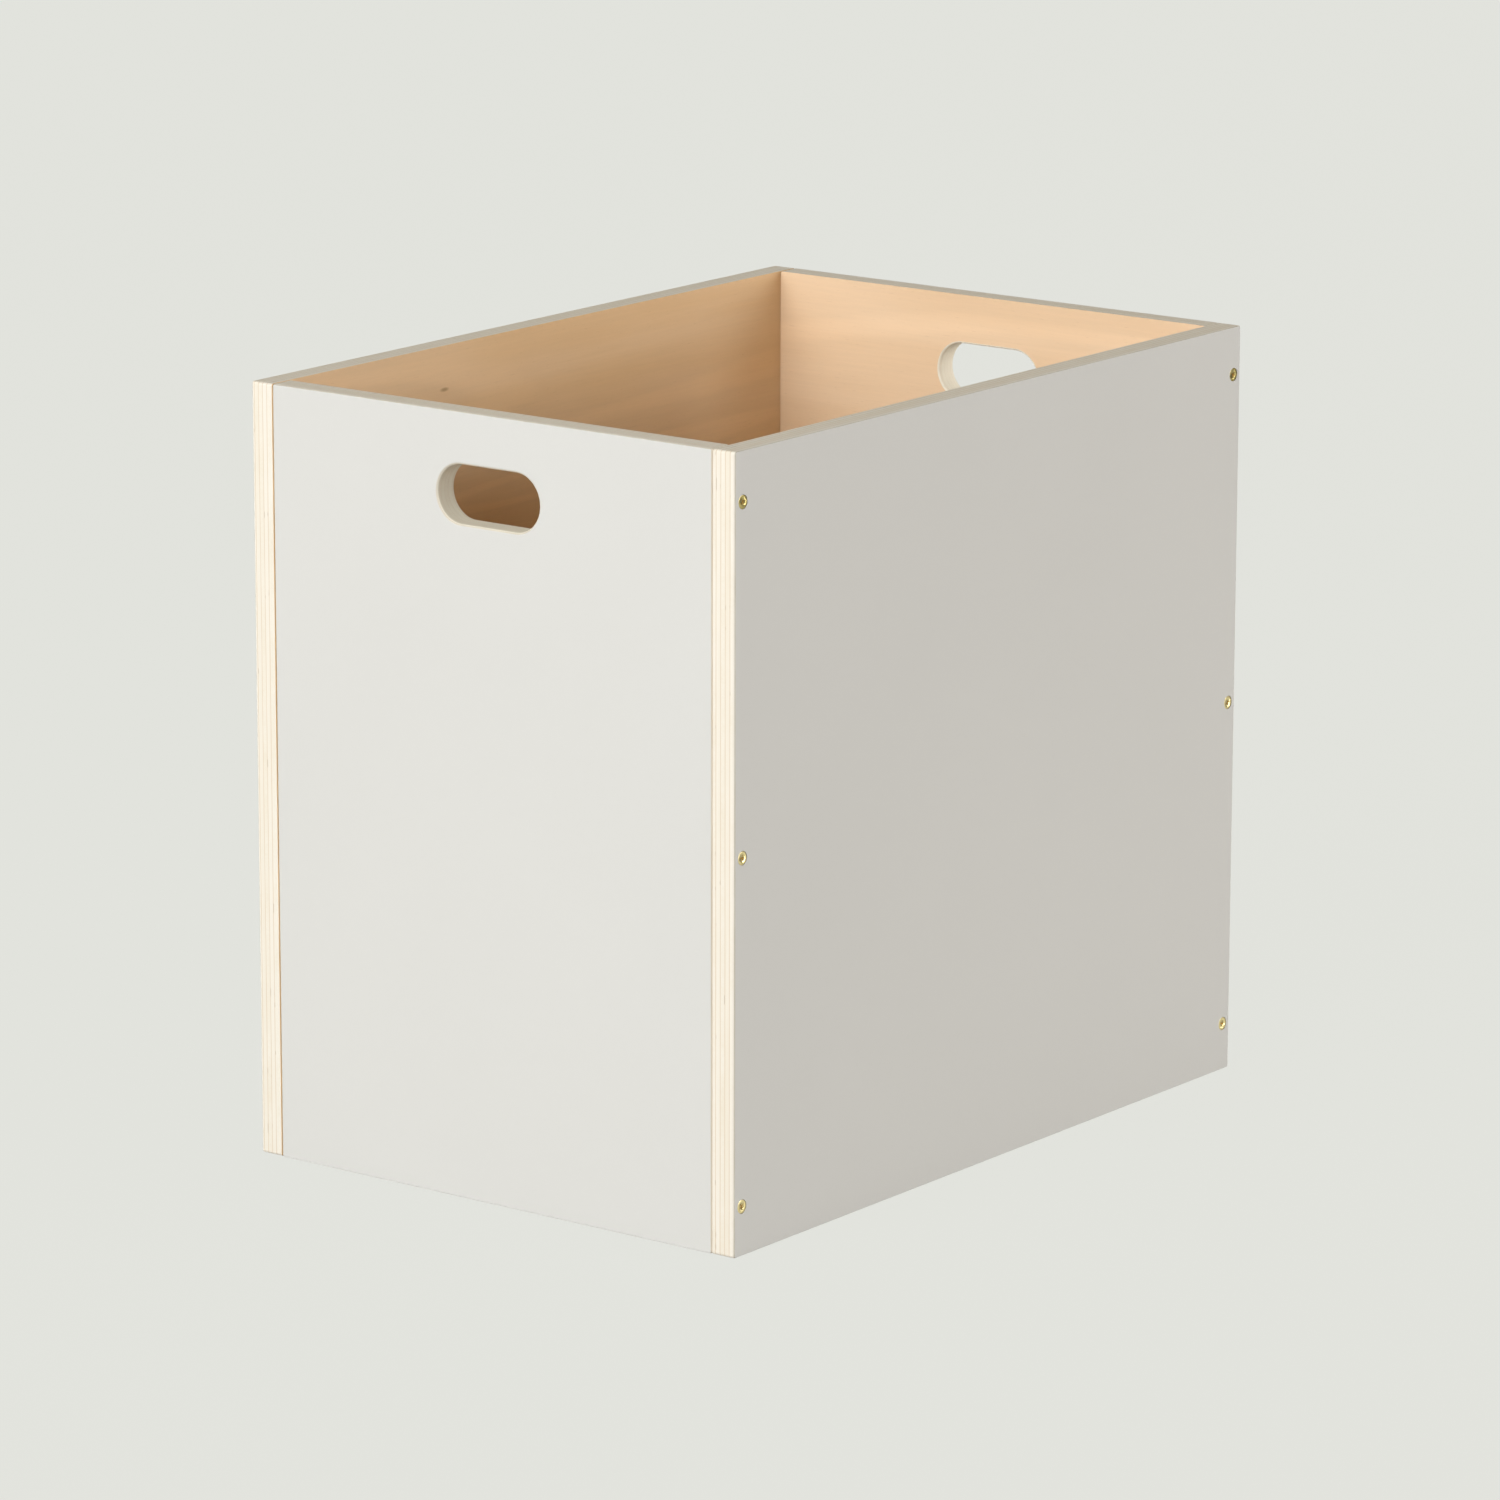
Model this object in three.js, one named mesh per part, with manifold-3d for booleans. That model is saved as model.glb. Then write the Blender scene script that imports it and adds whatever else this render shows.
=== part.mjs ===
// An open-top storage box of faced plywood, in millimetres, +Z up.
//
// Two side boards run the full length of the box and cover the ends of two end boards, each with a
// finger slot below the rim. A thinner bottom board sits in grooves cut around the inside of all
// four walls. Twelve countersunk brass screws, three to a corner, pass through the side boards into
// the edges of the end boards. Every wall is a five-ply board with a thin decorative sheet bonded
// to its outer face. All the edges are eased, so bare wood shows around each sheet.
//
// The origin is at floor level in the middle of the box. X runs across the end boards, Y along the
// side boards, and the front end board faces -Y.

import * as THREE from "three";
import { mergeVertices } from "three/addons/utils/BufferGeometryUtils.js";
import Module from "manifold-3d";

const wasm = await Module();
wasm.setup();

// The box.
const WIDTH = 265;
const LENGTH = 380;
const HEIGHT = 350;

// The walls, from the inner face out: a plywood board, a film of glue and the decorative sheet.
const BOARD = 11.2;
const GLUE = 0.1;
const SHEET = 0.4;
const WALL = BOARD + GLUE + SHEET;
const EASE = 0.6; // how far the eased edges cut back each face of a board
const SHEET_MARGIN = 0.8; // from the edge of a wall to the edge of its sheet
const CORNER_RADIUS = 1; // a wall's own corners, seen square on
const BUTT_GAP = 0.15; // between an end board and each side board

// The finger slot in each end board.
const SLOT_LENGTH = 56;
const SLOT_HEIGHT = 26;
const SLOT_DROP = 36; // from the rim down to the middle of the slot

// The bottom board and the groove that holds it.
const BOTTOM = 6;
const BOTTOM_LIFT = 10; // from the floor to the underside of the bottom board
const TONGUE = 5; // how far the bottom board reaches into each groove
const GROOVE_PLAY = 0.15; // on every side of the bottom board

// The screws: flat countersunk heads with a cross recess.
const SCREW_LENGTH = 30;
const SHANK_RADIUS = 1.6;
const HEAD_RADIUS = 3;
const HEAD_RIM = 0.2; // the straight edge of the head above its cone
const HEAD_SUNK = 0.15; // how far the head lies below the face of the sheet
const TIP_LENGTH = 4;
const HOLE_PLAY = 0.15; // between a screw and the wood around it
const RECESS = { span: 3.4, floorSpan: 1.3, width: 0.85, depth: 1.6 };
const SCREW_INSET = 5.6; // from the end of the box to the line of screws
const SCREW_MARGIN = 22; // from the rim to the highest screw, and from the floor to the lowest
const SCREW_TURN = 0.7; // each screw stops this much further round than the one before, in radians

// How finely round shapes are divided.
const SCREW_SIDES = 20;
const SLOT_STEPS = 12; // for each half-round end
const CORNER_STEPS = 2;
const EASE_STEPS = 2;

const END_BOARD_WIDTH = WIDTH - 2 * (WALL + BUTT_GAP);
const SCREW_LEVELS = {
  bottom: SCREW_MARGIN,
  middle: HEIGHT / 2,
  top: HEIGHT - SCREW_MARGIN,
};
const SCREW_ENDS = {
  front: SCREW_INSET - LENGTH / 2,
  rear: LENGTH / 2 - SCREW_INSET,
};

const plywood = new THREE.MeshStandardMaterial({ color: 0xf0dcb9, roughness: 0.62, metalness: 0 });
const veneer = new THREE.MeshStandardMaterial({ color: 0xe6c398, roughness: 0.62, metalness: 0 });
const laminate = new THREE.MeshStandardMaterial({ color: 0xe3e2dd, roughness: 0.45, metalness: 0 });
const brass = new THREE.MeshStandardMaterial({ color: 0xc8a34c, roughness: 0.3, metalness: 1 });

// ---- Solids ------------------------------------------------------------------------------------

// The manifold-3d solid of a closed three.js geometry.
function solidOf(geometry) {
  const bare = geometry.clone();
  bare.deleteAttribute("normal");
  bare.deleteAttribute("uv");
  const merged = mergeVertices(bare, 1e-4);
  return new wasm.Manifold(
    new wasm.Mesh({
      numProp: 3,
      vertProperties: merged.attributes.position.array,
      triVerts: new Uint32Array(merged.index.array),
    }),
  );
}

// A three.js geometry with these tools cut out of it.
function cut(geometry, tools) {
  let body = solidOf(geometry);
  for (const tool of tools) body = body.subtract(solidOf(tool));
  const { vertProperties, triVerts } = body.getMesh();
  const result = new THREE.BufferGeometry();
  result.setAttribute("position", new THREE.BufferAttribute(vertProperties, 3));
  result.setIndex(new THREE.BufferAttribute(triVerts, 1));
  result.computeVertexNormals();
  return result;
}

// A solid of revolution about +Z. The profile lists [radius, height], from the bottom up, and
// starts and ends on the axis.
function turned(profile) {
  const points = profile.map(([radius, height]) => new THREE.Vector2(radius, height));
  return new THREE.LatheGeometry(points, SCREW_SIDES).rotateX(Math.PI / 2);
}

// ---- Outlines ----------------------------------------------------------------------------------

// The points of an arc about a centre, anticlockwise from the start angle.
function arc(x, y, radius, start, sweep, steps) {
  return Array.from({ length: steps + 1 }, (_, step) => {
    const angle = start + (sweep * step) / steps;
    return new THREE.Vector2(x + radius * Math.cos(angle), y + radius * Math.sin(angle));
  });
}

// A rectangle with rounded corners, centred on x, from y = low to y = low + height.
function boardOutline(width, height, low, radius) {
  const side = width / 2 - radius;
  const foot = low + radius;
  const head = low + height - radius;
  const quarter = Math.PI / 2;
  return new THREE.Shape([
    ...arc(side, foot, radius, -quarter, quarter, CORNER_STEPS),
    ...arc(side, head, radius, 0, quarter, CORNER_STEPS),
    ...arc(-side, head, radius, quarter, quarter, CORNER_STEPS),
    ...arc(-side, foot, radius, 2 * quarter, quarter, CORNER_STEPS),
  ]);
}

// The finger slot: a level slot with half-round ends, grown by a margin all round.
function slotOutline(margin) {
  const radius = SLOT_HEIGHT / 2 + margin;
  const centre = (SLOT_LENGTH - SLOT_HEIGHT) / 2;
  const level = HEIGHT - SLOT_DROP;
  return new THREE.Path([
    ...arc(centre, level, radius, -Math.PI / 2, Math.PI, SLOT_STEPS),
    ...arc(-centre, level, radius, Math.PI / 2, Math.PI, SLOT_STEPS),
  ]);
}

// A board of this outline from z = 0 to z = thickness, with rounded edges on both faces.
function easedPlate(shape, thickness, ease) {
  return new THREE.ExtrudeGeometry(shape, {
    depth: thickness - 2 * ease,
    bevelThickness: ease,
    bevelSize: ease,
    bevelOffset: -ease,
    bevelSegments: EASE_STEPS,
  }).translate(0, 0, ease);
}

// ---- Walls -------------------------------------------------------------------------------------
// A wall is drawn lying down: x along the wall, y up the wall and z from its inner face outwards.

// Where the screws of a side wall stand: [name, x, y].
function screwPlaces() {
  const places = [];
  for (const [end, x] of Object.entries(SCREW_ENDS)) {
    for (const [level, y] of Object.entries(SCREW_LEVELS)) places.push([`${end}_${level}`, x, y]);
  }
  return places;
}

// The groove for the bottom board, along the foot of a wall's inner face.
function grooveTool(length) {
  const depth = TONGUE + GROOVE_PLAY;
  const height = BOTTOM + 2 * GROOVE_PLAY;
  return new THREE.BoxGeometry(length, height, 2 * depth).translate(0, BOTTOM_LIFT + BOTTOM / 2, 0);
}

// The hole for one screw through a side wall: a clear hole, opening into the countersink.
function countersinkTool(x, y) {
  const beyond = 1;
  const shank = SHANK_RADIUS + HOLE_PLAY;
  const head = HEAD_RADIUS + HOLE_PLAY;
  const rim = WALL - HEAD_SUNK - HEAD_RIM;
  return turned([
    [0, -beyond],
    [shank, -beyond],
    [shank, rim - (head - shank)],
    [head, rim],
    [head, WALL + beyond],
    [0, WALL + beyond],
  ]).translate(x, y, 0);
}

// The pilot hole for one screw in the edge of an end board. `side` is 1 or -1 along the wall.
function pilotTool(side, y) {
  const radius = SHANK_RADIUS + HOLE_PLAY;
  const depth = SCREW_LENGTH - WALL + 1;
  return new THREE.CylinderGeometry(radius, radius, 2 * depth, SCREW_SIDES)
    .rotateZ(Math.PI / 2)
    .translate((side * END_BOARD_WIDTH) / 2, y, WALL - SCREW_INSET);
}

function endBoard() {
  const shape = boardOutline(END_BOARD_WIDTH, HEIGHT, 0, CORNER_RADIUS);
  shape.holes.push(slotOutline(0));
  const levels = Object.values(SCREW_LEVELS);
  const pilots = [-1, 1].flatMap((side) => levels.map((y) => pilotTool(side, y)));
  return cut(easedPlate(shape, BOARD, EASE), [grooveTool(WIDTH), ...pilots]);
}

// The groove in a side board stops behind the end boards, so it doesn't show at the corners.
function sideBoard() {
  const shape = boardOutline(LENGTH, HEIGHT, 0, CORNER_RADIUS);
  const grooveLength = LENGTH - 2 * (WALL - TONGUE - GROOVE_PLAY);
  const holes = screwPlaces().map(([, x, y]) => countersinkTool(x, y));
  return cut(easedPlate(shape, BOARD, EASE), [grooveTool(grooveLength), ...holes]);
}

// The decorative sheet over a wall of this length, with these outlines left out of it.
function faceSheet(length, slots, tools) {
  const width = length - 2 * SHEET_MARGIN;
  const height = HEIGHT - 2 * SHEET_MARGIN;
  const shape = boardOutline(width, height, SHEET_MARGIN, CORNER_RADIUS / 2);
  shape.holes.push(...slots);
  const plate = new THREE.ExtrudeGeometry(shape, { depth: SHEET, bevelEnabled: false });
  return cut(plate.translate(0, 0, BOARD + GLUE), tools);
}

// ---- Screws ------------------------------------------------------------------------------------

// One slot of the cross recess, which narrows towards its floor. The head's face is at z = 0.
function recessTool(turn) {
  const { span, floorSpan, width, depth } = RECESS;
  const above = 1;
  const shape = new THREE.Shape([
    new THREE.Vector2(-floorSpan / 2, -depth),
    new THREE.Vector2(floorSpan / 2, -depth),
    new THREE.Vector2(span / 2, 0),
    new THREE.Vector2(span / 2, above),
    new THREE.Vector2(-span / 2, above),
    new THREE.Vector2(-span / 2, 0),
  ]);
  return new THREE.ExtrudeGeometry(shape, { depth: width, bevelEnabled: false })
    .translate(0, 0, -width / 2)
    .rotateX(Math.PI / 2)
    .rotateZ(turn);
}

// A screw along -Z, with the face of its head at z = 0.
function screwGeometry() {
  const body = turned([
    [0, -SCREW_LENGTH],
    [SHANK_RADIUS, TIP_LENGTH - SCREW_LENGTH],
    [SHANK_RADIUS, -HEAD_RIM - (HEAD_RADIUS - SHANK_RADIUS)],
    [HEAD_RADIUS, -HEAD_RIM],
    [HEAD_RADIUS, 0],
    [0, 0],
  ]);
  return cut(body, [recessTool(0), recessTool(Math.PI / 2)]);
}

// ---- Assembly ----------------------------------------------------------------------------------

function part(name, geometry, material) {
  const mesh = new THREE.Mesh(geometry, material);
  mesh.name = name;
  return mesh;
}

// Stands a wall up with its outer face `reach` from the middle of the box. `turn` is the angle
// about +Z from the front wall, which faces -Y.
function stand(wall, turn, reach) {
  const inner = reach - WALL;
  wall.rotation.set(Math.PI / 2, 0, turn, "ZXY");
  wall.position.set(Math.sin(turn) * inner, -Math.cos(turn) * inner, 0);
  return wall;
}

function endWall(name, turn) {
  const wall = new THREE.Group();
  const sheet = faceSheet(END_BOARD_WIDTH, [slotOutline(SHEET_MARGIN)], []);
  wall.add(part(`${name}_board`, endBoard(), plywood));
  wall.add(part(`${name}_face_sheet`, sheet, laminate));
  return stand(wall, turn, LENGTH / 2);
}

// A side wall with its six screws. `order` is 1 where the wall's x runs from front to rear.
function sideWall(name, turn, order) {
  const wall = new THREE.Group();
  const sheet = faceSheet(LENGTH, [], screwPlaces().map(([, x, y]) => countersinkTool(x, y)));
  wall.add(part(`${name}_board`, sideBoard(), plywood));
  wall.add(part(`${name}_face_sheet`, sheet, laminate));
  screwPlaces().forEach(([place, x, y], index) => {
    const screw = part(`screw_${name}_${place}`, screwGeometry(), brass);
    screw.position.set(order * x, y, WALL - HEAD_SUNK);
    screw.rotation.z = SCREW_TURN * (index + 1);
    wall.add(screw);
  });
  return stand(wall, turn, WIDTH / 2);
}

function bottomBoard() {
  const width = WIDTH - 2 * (WALL - TONGUE);
  const length = LENGTH - 2 * (WALL - TONGUE);
  const shape = boardOutline(width, length, -length / 2, CORNER_RADIUS);
  const board = part("bottom_board", easedPlate(shape, BOTTOM, EASE), veneer);
  board.position.z = BOTTOM_LIFT;
  return board;
}

const box = new THREE.Group();
box.name = "plywood_box";
box.add(endWall("front", 0));
box.add(sideWall("right", Math.PI / 2, 1));
box.add(endWall("rear", Math.PI));
box.add(sideWall("left", -Math.PI / 2, -1));
box.add(bottomBoard());

export default box;
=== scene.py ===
"""A storage box of faced plywood: fine boards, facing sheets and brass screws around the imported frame.

Each wall is made in a frame of its own, in metres: u runs along the wall, v up it, and w from its
inner face outwards. The part's front faces -Y.
"""

import math

import bmesh
import bpy
from mathutils import Matrix, Vector


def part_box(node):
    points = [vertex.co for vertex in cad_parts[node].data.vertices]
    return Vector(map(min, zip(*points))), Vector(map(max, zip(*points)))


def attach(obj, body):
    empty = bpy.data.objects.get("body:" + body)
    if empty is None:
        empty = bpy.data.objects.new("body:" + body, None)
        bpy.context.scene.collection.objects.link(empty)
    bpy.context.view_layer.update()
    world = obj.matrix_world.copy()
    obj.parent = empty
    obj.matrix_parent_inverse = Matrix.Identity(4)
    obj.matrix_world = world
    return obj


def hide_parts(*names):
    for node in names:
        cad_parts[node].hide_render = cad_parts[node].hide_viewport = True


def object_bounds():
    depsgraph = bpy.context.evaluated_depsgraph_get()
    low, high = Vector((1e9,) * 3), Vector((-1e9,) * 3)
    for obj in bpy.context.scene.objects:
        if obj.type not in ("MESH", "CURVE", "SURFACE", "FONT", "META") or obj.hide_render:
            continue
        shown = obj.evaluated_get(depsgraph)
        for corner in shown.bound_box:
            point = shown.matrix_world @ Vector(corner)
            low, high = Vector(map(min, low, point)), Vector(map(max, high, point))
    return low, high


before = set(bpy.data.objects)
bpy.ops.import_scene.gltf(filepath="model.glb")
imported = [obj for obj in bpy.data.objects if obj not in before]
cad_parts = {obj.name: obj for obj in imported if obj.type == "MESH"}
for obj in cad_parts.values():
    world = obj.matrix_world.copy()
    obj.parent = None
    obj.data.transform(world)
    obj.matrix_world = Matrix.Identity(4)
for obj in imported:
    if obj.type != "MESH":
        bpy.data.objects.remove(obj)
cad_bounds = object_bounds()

MM = 0.001
UP = Vector((0, 0, 1))
QUARTER = math.pi / 2

# The eased edges of the walls.
ARRIS = 1.2 * MM
INNER_ARRIS = 0.35 * MM
SLOT_ARRIS = 0.9 * MM  # round the finger slots, on the inner face
CORNER = 1.3 * MM  # a wall's own corners, seen square on
LEVEL_EASE = 0.35  # how far a wall's level edges are eased, to its upright ones
FILM_TILT = math.radians(70)  # the white film ends where the outer arris leans this much
BOND = 0.02 * MM  # between a board and its facing sheet
CLOSE_FIT = 0.1 * MM  # how much of the play at each butt joint an end wall takes up

# The finger slots in the end walls.
SLOT_LENGTH = 56 * MM
SLOT_HEIGHT = 26 * MM
SLOT_DROP = 36 * MM  # from the rim to the middle of the slot

# The grooves that hold the bottom board.
TONGUE = 5 * MM
GROOVE_PLAY = 0.15 * MM

# The screws, which are all alike.
screw_low, screw_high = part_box("screw_right_front_top")
HEAD_RADIUS = (screw_high.z - screw_low.z) / 2
SCREW_LENGTH = screw_high.x - screw_low.x
SHANK = 1.6 * MM  # its radius
HEAD_RIM = 0.2 * MM
HEAD_EASE = 0.25 * MM
HOLE_PLAY = 0.15 * MM
PILOT_END = 0.3 * MM  # the radius of a pilot hole's pointed end
THREAD_DEPTH = 0.5 * MM
THREAD_PITCH = 1.6 * MM
THREAD_SLOPE = 3.2  # the thread's crest falls away to the groove in a pitch over this
SMOOTH_SHANK = 6 * MM  # below the head, before the thread starts
TIP = 4 * MM
TIP_END = 0.12  # the radius at the very end, to the shank's
SHARP_EDGE = math.radians(32)  # edges of a screw that turn more than this are shaded as sharp
RECESS_SPAN = 3.0 * MM
RECESS_FLOOR_SPAN = 1.3 * MM
RECESS_FLOOR_WIDTH = 0.48 * MM
RECESS_DEPTH = 1.6 * MM
CUTTER_RISE = 1 * MM  # how far the recess's cutter stands above the head
CUTTER_WIDTH = 0.9 * MM  # at its top
SCREW_TURN = 0.7  # each screw's recess stands this much further round than the last one's

# The plies: how many, the inner face's ply and each ply after it. The outer face's takes what is left.
WALL_PLIES = 5
WALL_FACE_PLY, WALL_CORE_PLY = 1.85 * MM, 2.43 * MM
LEFT_FACE_PLY, LEFT_CORE_PLY = 3.05 * MM, 2.35 * MM
BOTTOM_PLIES = 3
BOTTOM_FACE_PLY, BOTTOM_CORE_PLY = 1.3 * MM, 3.4 * MM
GLUE_LINE = 0.2 * MM  # half its width
PLY_SHIFT = (0.37, 0.53)  # metres that the figure moves by from ply to ply, along and across the grain

# The wood's figure: how often it repeats in a metre, along the grain and across it both ways.
FIBRES = (30, 700, 700)
BANDS = (3.2, 30, 30)
CLOUDS = (6, 11, 11)
FLECKS = (190, 2300, 2300)
HILLS = (1.1, 10, 10)  # the veneer's contour lines run round these
CONTOURS = 75.0  # how closely those lines follow each other
GLUE_WANDER = (60, 60, 60)
GLUE_GAPS = (110, 110, 110)

# How strongly the marks show.
FIBRE_LIGHT, CONTOUR_LIGHT, PLY_TONE = 0.1, 0.06, 0.12
# The last of these sets how strong the painted shade in a screw's recess is.
FLECK_SHADE, EDGE_FLECK_SHADE, KNOT_SHADE, GAP_SHADE, RECESS_SHADE_STRENGTH = 0.16, 0.2, 0.6, 0.5, 0.92
WOOD_GLOSS = 0.25  # bare sanded wood
FACE_RELIEF, EDGE_RELIEF, BRASS_RELIEF = 0.06 * MM, 0.05 * MM, 0.02 * MM

KNOT = (72 * MM, 330 * MM)  # the middle of a pin knot, on the left board's inner face
KNOT_LENGTH, KNOT_WIDTH = 4 * MM, 1.3 * MM  # half of each

# How often the other finishes' figures repeat in a metre.
PAPER_FIBRES, PAPER_PATCHES = (700, 700, 700), (45, 45, 45)
FILM_PEEL, FILM_CLOUDS = (420, 420, 420), (9, 9, 9)
TARNISH_PATCHES = (900, 900, 900)
TURNING_MARKS = 9000  # out from the screw's axis
RECESS_SHADE_START, RECESS_SHADE_FULL = -0.03 * MM, -0.4 * MM  # heights in a screw's recess over which the painted shade sets in

# Colours.
PALE_EDGE, DEEP_EDGE = (0.765, 0.72, 0.635, 1), (0.715, 0.65, 0.53, 1)
PALE_SLOT, DEEP_SLOT = (0.83, 0.79, 0.67, 1), (0.76, 0.7, 0.57, 1)  # paler than the other ply edges, and used with faint ply lines
PALE_END, DEEP_END = (0.82, 0.62, 0.42, 1), (0.75, 0.54, 0.34, 1)
PALE_SIDE, DEEP_SIDE = (0.81, 0.6, 0.38, 1), (0.74, 0.51, 0.275, 1)
GLUE, GAP = (0.61, 0.49, 0.34, 1), (0.3, 0.19, 0.11, 1)
FLECK, KNOT_BROWN = (0.36, 0.2, 0.1, 1), (0.26, 0.15, 0.05, 1)
# Two copies of the sheets' tan core. The end walls' copy is lighter, painted light for the shaded butt joints
# it lines. The side walls' copy is darker, painted shade that tones down their lit top arris.
PALE_END_CORE_LIT, DEEP_END_CORE_LIT = (0.61, 0.56, 0.465, 1), (0.56, 0.5, 0.4, 1)
PALE_SIDE_CORE_SHADED, DEEP_SIDE_CORE_SHADED = (0.52, 0.49, 0.42, 1), (0.47, 0.43, 0.35, 1)
DEEP_FILM, PALE_FILM = (0.592, 0.588, 0.56, 1), (0.608, 0.604, 0.575, 1)
BRIGHT_BRASS, DULL_BRASS = (0.78, 0.67, 0.34, 1), (0.68, 0.55, 0.24, 1)
# The topmost screws' brass is darker: painted shade for the dark room that their heads reflect.
SHADED_BRIGHT_BRASS, SHADED_DULL_BRASS = (0.56, 0.47, 0.19, 1), (0.4, 0.33, 0.1, 1)
# A brown painted shade for the recesses of the screw heads.
RECESS_SHADE_BROWN = (0.5, 0.3, 0.08, 1)

# The material slots of a board and of a facing sheet.
EDGE, VENEER, SMOOTH_EDGE = 0, 1, 2
FILM, CORE = 0, 1

# How finely round shapes are divided.
ARRIS_STEPS = 5
VENEER_STEPS = 3  # the part of the inner arris that is still the face veneer
CORNER_STEPS = 5
SLOT_STEPS = 24
HOLE_STEPS = 32
SCREW_STEPS = 40
HEAD_EASE_STEPS = 3
ROWS_PER_TURN = 8


# ---- Meshes ------------------------------------------------------------------------------------


class Shell:
    """A closed mesh, put together from rings of points in a wall's frame.

    A point keeps its place in that frame as the attribute board_point, which the wood grain reads.
    """

    def __init__(self):
        self.mesh = bmesh.new()
        self.board_point = self.mesh.verts.layers.float_vector.new("board_point")
        self.soft = self.mesh.verts.layers.float_vector.new("soft_normal")
        self.flat = self.mesh.faces.layers.int.new("flat")

    def point(self, place, normal=(0, 0, 0)):
        vertex = self.mesh.verts.new(place)
        vertex[self.board_point] = place
        vertex[self.soft] = normal
        return vertex

    def face(self, corners, material=0, flat=True):
        face = self.mesh.faces.new(corners)
        face.material_index = material
        face[self.flat] = flat
        face.smooth = True

    def bridge(self, first, second, material=0, flat=False, skip=()):
        """Joins two rings of as many points, leaving out the stretches that start at skip."""
        for index, corner in enumerate(first):
            after = (index + 1) % len(first)
            if index not in skip:
                self.face((corner, first[after], second[after], second[index]), material, flat)

    def fill(self, loops, material=0):
        """Fills a flat region between an outer loop of points and any holes in it."""
        edges = []
        for loop in loops:
            for index, corner in enumerate(loop):
                after = loop[(index + 1) % len(loop)]
                edge = self.mesh.edges.get((corner, after)) or self.mesh.edges.new((corner, after))
                edges.append(edge)
        made = bmesh.ops.triangle_fill(self.mesh, edges=edges, use_beauty=True)["geom"]
        for face in made:
            if isinstance(face, bmesh.types.BMFace):
                face.material_index = material
                face[self.flat] = True
                face.smooth = True

    def tube(self, centre, across, up, rings, material=0):
        """A round hole about centre: rings lists (radius, offset) along its axis."""
        axis = across.cross(up)
        made = []
        for radius, offset in rings:
            turns = (2 * math.pi * step / HOLE_STEPS for step in range(HOLE_STEPS))
            made.append([
                self.point(centre + radius * (math.cos(t) * across + math.sin(t) * up) + offset * axis)
                for t in turns
            ])
        for first, second in zip(made, made[1:]):
            self.bridge(first, second, material, flat=True)
        return made

    def build(self, name, matrix, materials):
        """Turns the shell into an object, with its shading set from the soft normals.

        A point's soft normal has a length of 1, or 0 where the point has none.
        """
        bmesh.ops.recalc_face_normals(self.mesh, faces=self.mesh.faces)
        self.mesh.transform(matrix)
        self.mesh.normal_update()
        turn = matrix.to_3x3()
        normals = []
        for face in self.mesh.faces:
            for corner in face.loops:
                soft = turn @ corner.vert[self.soft]
                normals.append(face.normal if face[self.flat] or soft.length < 0.5 else soft)
        normals = [tuple(normal) for normal in normals]
        self.mesh.verts.layers.float_vector.remove(self.soft)
        self.mesh.faces.layers.int.remove(self.flat)
        data = bpy.data.meshes.new(name)
        self.mesh.to_mesh(data)
        self.mesh.free()
        for material in materials:
            data.materials.append(material)
        data.normals_split_custom_set(normals)
        piece = bpy.data.objects.new(name, data)
        bpy.context.scene.collection.objects.link(piece)
        return piece


def arc(u, v, radius, start, sweep, steps, side=1):
    """Points of an arc as (u, v, normal u, normal v). side is -1 where the wood is outside it."""
    points = []
    for step in range(steps + 1):
        angle = start + sweep * step / steps
        cos, sin = math.cos(angle), math.sin(angle)
        points.append((u + radius * cos, v + radius * sin, side * cos, side * sin))
    return points


def board_outline(half, foot, head, breaks=()):
    """A wall's outline, anticlockwise from its lower right corner, with points at these heights."""
    side = half - CORNER
    low, high = foot + CORNER, head - CORNER
    return [
        *arc(side, low, CORNER, -QUARTER, QUARTER, CORNER_STEPS),
        *((half, v, 1, 0) for v in breaks),
        *arc(side, high, CORNER, 0, QUARTER, CORNER_STEPS),
        *arc(-side, high, CORNER, QUARTER, QUARTER, CORNER_STEPS),
        *((-half, v, -1, 0) for v in reversed(breaks)),
        *arc(-side, low, CORNER, 2 * QUARTER, QUARTER, CORNER_STEPS),
    ]


def slot_outline(head):
    """The finger slot, a level slot with half-round ends."""
    radius = SLOT_HEIGHT / 2
    centre = (SLOT_LENGTH - SLOT_HEIGHT) / 2
    level = head - SLOT_DROP
    return [
        *arc(centre, level, radius, -QUARTER, 2 * QUARTER, SLOT_STEPS, side=-1),
        *arc(-centre, level, radius, QUARTER, 2 * QUARTER, SLOT_STEPS, side=-1),
    ]


def arris_rings(radius, face, sign, start, end):
    """(inset, w, tilt) along a rounded edge below the face at w = face, which sign points out of."""
    rings = []
    for step in range(ARRIS_STEPS + 1):
        tilt = start + (end - start) * step / ARRIS_STEPS
        inset = radius * (1 - math.cos(tilt))
        rings.append((inset, face - sign * radius * (1 - math.sin(tilt)), sign * tilt))
    return rings


def sweep(shell, outline, profile, level_ease=1):
    """Rings of points round an outline, one for each (inset, w, tilt) of the profile.

    level_ease scales the inset where the outline runs level, and leaves its upright stretches alone.
    """
    rings = []
    for inset, w, tilt in profile:
        ring = []
        for u, v, nu, nv in outline:
            ease = nu * nu + level_ease * nv * nv
            place = Vector((u - ease * inset * nu, v - ease * inset * nv, w))
            lean = math.cos(tilt)
            normal = Vector((lean * nu, lean * nv, ease * math.sin(tilt)))
            ring.append(shell.point(place, normal.normalized()))
        rings.append(ring)
    return rings


def strip_material(index):
    """The slot of the strip after a board's ring of this index: the veneer turns over the inner arris."""
    return VENEER if index < VENEER_STEPS else EDGE


def skirt(shell, rings):
    """Joins a board's rings, from the inner face outwards."""
    for index, (first, second) in enumerate(zip(rings, rings[1:])):
        shell.bridge(first, second, strip_material(index))


# ---- Walls -------------------------------------------------------------------------------------


def span(node, direction):
    """How far a node of the frame reaches along a direction, at rest."""
    ends = [corner.dot(direction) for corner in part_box(node)]
    return min(ends), max(ends)


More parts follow.
